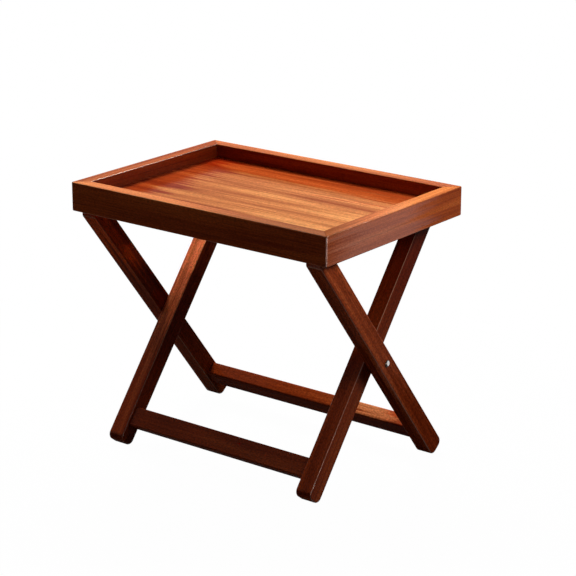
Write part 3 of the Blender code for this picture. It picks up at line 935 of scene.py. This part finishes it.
def bolt_profile():
    """Points as (distance from the axis, height), from the top of the dome to the end of the thread."""
    for step in range(DOME_STEPS + 1):
        angle = math.radians(90 * step / DOME_STEPS)
        yield HEAD_RADIUS * math.sin(angle), HEAD_HEIGHT * math.cos(angle)
    yield STEEL_SHOULDER, 0.0
    yield STEEL_SHOULDER, -SHOULDER_LENGTH
    yield THREAD_RADIUS, -SHOULDER_LENGTH
    yield THREAD_RADIUS, -SHOULDER_LENGTH - THREAD_LENGTH + THREAD_CHAMFER
    yield THREAD_RADIUS - THREAD_CHAMFER, -SHOULDER_LENGTH - THREAD_LENGTH
    yield 0.0, -SHOULDER_LENGTH - THREAD_LENGTH


bolts = []
for side, sign in SIDES.items():
    shape = bmesh.new()
    chain = [shape.verts.new((radius, 0, height)) for radius, height in bolt_profile()]
    edges = [shape.edges.new(pair) for pair in zip(chain, chain[1:])]
    bmesh.ops.spin(
        shape,
        geom=chain + edges,
        axis=(0, 0, 1),
        cent=(0, 0, 0),
        angle=math.radians(360),
        steps=BOLT_STEPS,
        use_merge=True,
    )
    bmesh.ops.remove_doubles(shape, verts=shape.verts, dist=1e-6)
    seat = Vector((sign * (OUTER_LEG_X + LEG_WIDTH / 2 + JOINT_GAP), 0, 0))
    moved(shape, Matrix.Translation(PIVOT + seat) @ Matrix.Rotation(sign * math.radians(90), 4, "Y"))
    bolt = new_piece(f"{side}_pivot_bolt", shape)
    bolt.data.shade_smooth()
    bolt.data.set_sharp_from_angle(angle=SMOOTH_ANGLE)
    bolts.append((bolt, side))
    print(bolt.name, len(bolt.data.polygons), "faces")

# %% [markdown]
# ## Metal
#
# The bolts are polished steel, the hinges plain brass. Faint scratches of uneven roughness keep the metal
# from looking like a mirror ball, and a painted shade darkens the edge of each bolt's head, most of all
# below.

# %% Metal finishes
STEEL = (0.62, 0.61, 0.60)
BRASS = (0.62, 0.43, 0.16)
# Painted shade round the edge of each bolt's head, darkest below.
HEAD_SHADE = (0.02, 0.014, 0.011)
HEAD_SHADE_CENTRE = PIVOT + Vector((0, 0.0011, 0.0011))


def metal(name, colour, roughness, shade_from=None):
    """Metal with faint scratches. Painted shade starts and is full at two distances from a centre on the
    head.
    """
    material, recipe = new_finish(name)
    place = recipe.node("ShaderNodeTexCoord", out="Object")
    cloud = recipe.noise(place, (400.0, 400.0, 400.0))
    scratch = recipe.noise(place, (300.0, 4000.0, 4000.0))
    shade = recipe.mix(cloud * 0.4, colour, [value * 0.7 for value in colour])
    if shade_from:
        offset = recipe.node("ShaderNodeVectorMath", {"operation": "SUBTRACT"}, {0: place, 1: HEAD_SHADE_CENTRE})
        flat = recipe.node("ShaderNodeVectorMath", {"operation": "MULTIPLY"}, {0: offset, 1: (0, 1, 1)})
        radius = recipe.node("ShaderNodeVectorMath", {"operation": "LENGTH"}, {0: flat}, out="Value")
        shade = recipe.mix(recipe.between(radius, *shade_from), shade, HEAD_SHADE)
    fill_shader(recipe, Base_Color=shade, Metallic=1.0, Roughness=roughness + 0.12 * scratch)
    return material


bolt_steel = metal("bolt_steel", STEEL, 0.14, shade_from=(0.0040, 0.0056))
steel = metal("plain_steel", STEEL, 0.22)
brass = metal("hinge_brass", BRASS, 0.26)
for bolt, side in bolts:
    dress(bolt, f"pivot_bolt_{side}", "inner_frame", bolt_steel)

bare_wood = wood("bare_wood", "bare", wear_and_highlight=0.0)
for name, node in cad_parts.items():
    if node.hide_render:
        continue
    metal_node = steel if name.startswith("pivot") else brass
    is_wood = name.startswith("corner_key") or name.endswith("cleat") or "dowel" in name
    node.data.materials.clear()
    node.data.materials.append(bare_wood if is_wood else metal_node)
print("finished CAD nodes:", sum(not node.hide_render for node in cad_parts.values()))

# %% [markdown]
# ## Floor and surroundings
#
# The photograph has a plain white ground. The floor and the world are white to the camera and in
# reflections, which the Light Path node can tell apart, and the floor keeps a faint shadow near the feet.
# For light that bounces, both are much darker, so that the front of the table stays as dark as it should.

# %% Floor and world
FLOOR_GLOW = 0.988
SHADOW_FADES = (0.45, 1.1)
FLOOR_REACH = 20


def seen(recipe):
    """1 for what the camera sees and for what shows in gloss or glass, 0 for light that bounces."""
    rays = [
        recipe.node("ShaderNodeLightPath", out=f"Is {kind} Ray")
        for kind in ("Camera", "Glossy", "Transmission")
    ]
    return rays[0].math("MAXIMUM", rays[0].math("MAXIMUM", rays[0], rays[1]), rays[2])


material, recipe = new_finish("studio_floor")
recipe.tree.nodes.remove(recipe.tree.nodes["Principled BSDF"])
place = recipe.node("ShaderNodeTexCoord", out="Object")
away = recipe.node("ShaderNodeVectorMath", {"operation": "LENGTH"}, {0: place}, out="Value")
glow_share = FLOOR_GLOW + (1 - FLOOR_GLOW) * recipe.between(away, *SHADOW_FADES)
lit = recipe.node("ShaderNodeBsdfDiffuse", None, {"Color": (0.80, 0.80, 0.80, 1)})
glow = recipe.node("ShaderNodeEmission", None, {"Color": (1, 1, 1, 1), "Strength": 1.0})
white = recipe.node("ShaderNodeMixShader", None, {0: glow_share, 1: lit, 2: glow})
dim = recipe.node("ShaderNodeBsdfDiffuse", None, {"Color": (0.08, 0.08, 0.08, 1)})
ground = recipe.node("ShaderNodeMixShader", None, {0: seen(recipe), 1: dim, 2: white})
recipe.feed(recipe.tree.nodes["Material Output"].inputs["Surface"], ground)

shape = bmesh.new()
bmesh.ops.create_grid(shape, x_segments=1, y_segments=1, size=FLOOR_REACH)
floor = new_piece("studio_floor", shape)
floor.data.materials.append(material)
floor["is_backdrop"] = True

world = bpy.data.worlds.new("studio")
bpy.context.scene.world = world
world.use_nodes = True
recipe = Recipe(world.node_tree)
background = world.node_tree.nodes["Background"]
recipe.feed(background.inputs["Color"], (1, 1, 1, 1))
recipe.feed(background.inputs["Strength"], 0.02 + 0.98 * seen(recipe))
print("floor and world are white to the camera")

# %% [markdown]
# ## Lamps
#
# A big softbox from the left and behind lights the tray's top. A small one, high on the right, lights the
# right-hand sides and leaves the far legs to the tray's shadow. Weak ones from the left and the front find
# the legs behind and the dark front, and a tiny one with a narrow beam finds the head of the left inner leg
# under the tray. Their own reflections would burn out the rim, so the varnish doesn't show them. It shows
# two warm strips instead, which light nothing: they only give it a sheen and draw thin lines on the arrises.

# %% Lamps
WHITE = (1.0, 1.0, 1.0)
WARM = (1.0, 0.88, 0.80)


def softbox(name, place, target, size, watts, colour=WHITE, strip=False, spread=180):
    """A lamp that lights the wood, or a strip that only shows in the varnish."""
    lamp = bpy.data.lights.new(name, "AREA")
    lamp.color = colour
    lamp.shape = "RECTANGLE"
    lamp.size, lamp.size_y = size
    lamp.energy = watts
    lamp.spread = math.radians(spread)
    box = bpy.data.objects.new(name, lamp)
    bpy.context.scene.collection.objects.link(box)
    box.location = place
    box.rotation_euler = (Vector(target) - Vector(place)).to_track_quat("-Z", "Y").to_euler()
    box.visible_camera = False
    box.visible_glossy = strip
    box.visible_diffuse = not strip


softbox("key_softbox", (-1.15, 0.95, 2.00), (0, 0, 0.5), (1.0, 0.9), 61)
softbox("right_softbox", (0.85, 0.15, 0.95), (0.25, 0.05, 0.40), (0.4, 0.3), 3.0)
softbox("left_softbox", (-1.30, -0.05, 0.42), (-0.2, 0.0, 0.4), (0.3, 0.3), 4.5)
softbox("front_softbox", (0, -2.60, 0.50), (0, 0, 0.4), (1.5, 0.8), 2.4, WARM)
softbox("leg_softbox", (-0.175, -0.30, 0.36), (-0.23, 0.085, 0.385), (0.02, 0.02), 0.027, spread=28)
softbox("edge_strip", (1.35, -0.65, 0.30), (0.25, -0.1, 0.30), (0.50, 0.58), 45, WARM, strip=True)
softbox("rim_strip", (0.04, 0.75, 1.39), (-0.29, -0.15, 0.52), (0.3, 0.45), 30, WARM, strip=True)
bpy.context.scene.view_settings.view_transform = "Standard"
print("lamps:", sorted(lamp.name for lamp in bpy.data.lights))

# %% [markdown]
# ## The dressed table's box
#
# The dressed table must fill the same box as the model, so its box is printed.

# %% Finish
low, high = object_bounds()
print("dressed table from", [round(value, 4) for value in low], "to", [round(value, 4) for value in high])
